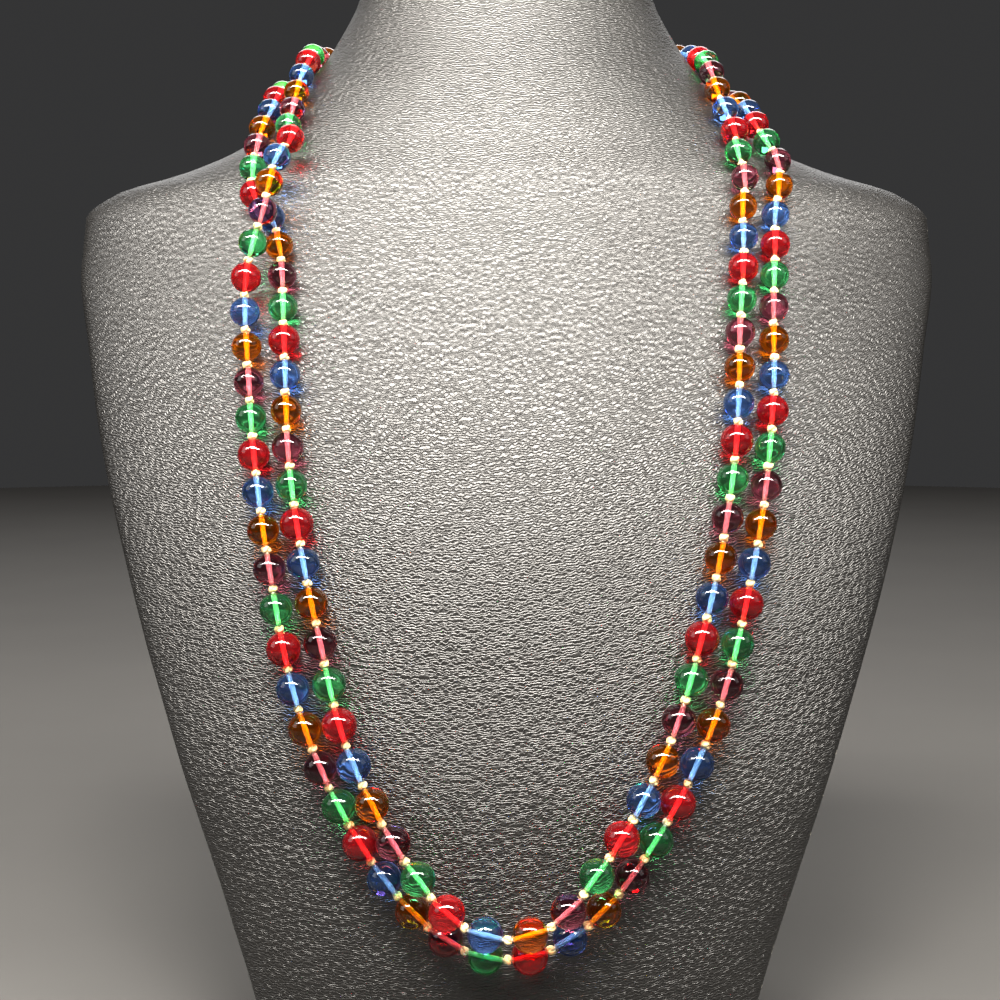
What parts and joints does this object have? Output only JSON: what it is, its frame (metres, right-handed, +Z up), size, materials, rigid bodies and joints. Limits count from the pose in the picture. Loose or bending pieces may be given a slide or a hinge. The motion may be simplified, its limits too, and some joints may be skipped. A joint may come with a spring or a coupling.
{
  "type": "beaded necklace on its neck bust",
  "caption": "Double strand of graduated round glass beads in five jewel colours, knotted on cream thread, worn by a plain black leatherette neck bust.",
  "frame": {"origin": "centre of the bounding box on the surface that the bust's base stands on", "axes": "+Z up, the chest faces -Y, +X on the right of someone who looks at the chest"},
  "size_m": [0.26, 0.1644, 0.342],
  "materials": {
    "leatherette": "black embossed leatherette, satin, with a fine wrinkled grain, lightly worn along one edge",
    "bead_glass": "clear polished glass, each bead one of ruby, sapphire, amber, amethyst or emerald",
    "ruby_glass": "clear ruby red glass, polished",
    "sapphire_glass": "clear light sapphire blue glass, polished",
    "amber_glass": "clear amber glass, polished",
    "amethyst_glass": "clear dark amethyst glass, polished",
    "emerald_glass": "clear emerald green glass, polished",
    "thread": "cream twisted thread, knotted between the beads",
    "clasp_metal": "plain polished gilt metal"
  },
  "bodies": {
    "root": {"neck_bust": "leatherette", "outer_strand_front_left": "bead_glass", "outer_strand_front_right": "bead_glass", "outer_strand_chest_left": "bead_glass", "outer_strand_chest_right": "bead_glass", "outer_strand_shoulder_left": "bead_glass", "outer_strand_shoulder_right": "bead_glass", "outer_strand_nape_left": "bead_glass", "outer_strand_nape_right": "bead_glass", "inner_strand_front_left": "bead_glass", "inner_strand_front_right": "bead_glass", "inner_strand_chest_left": "bead_glass", "inner_strand_chest_right": "bead_glass", "inner_strand_shoulder_left": "bead_glass", "inner_strand_shoulder_right": "bead_glass", "inner_strand_nape_left": "bead_glass", "inner_strand_nape_right": "bead_glass", "clasp": "clasp_metal"}
  },
  "joints": []
}
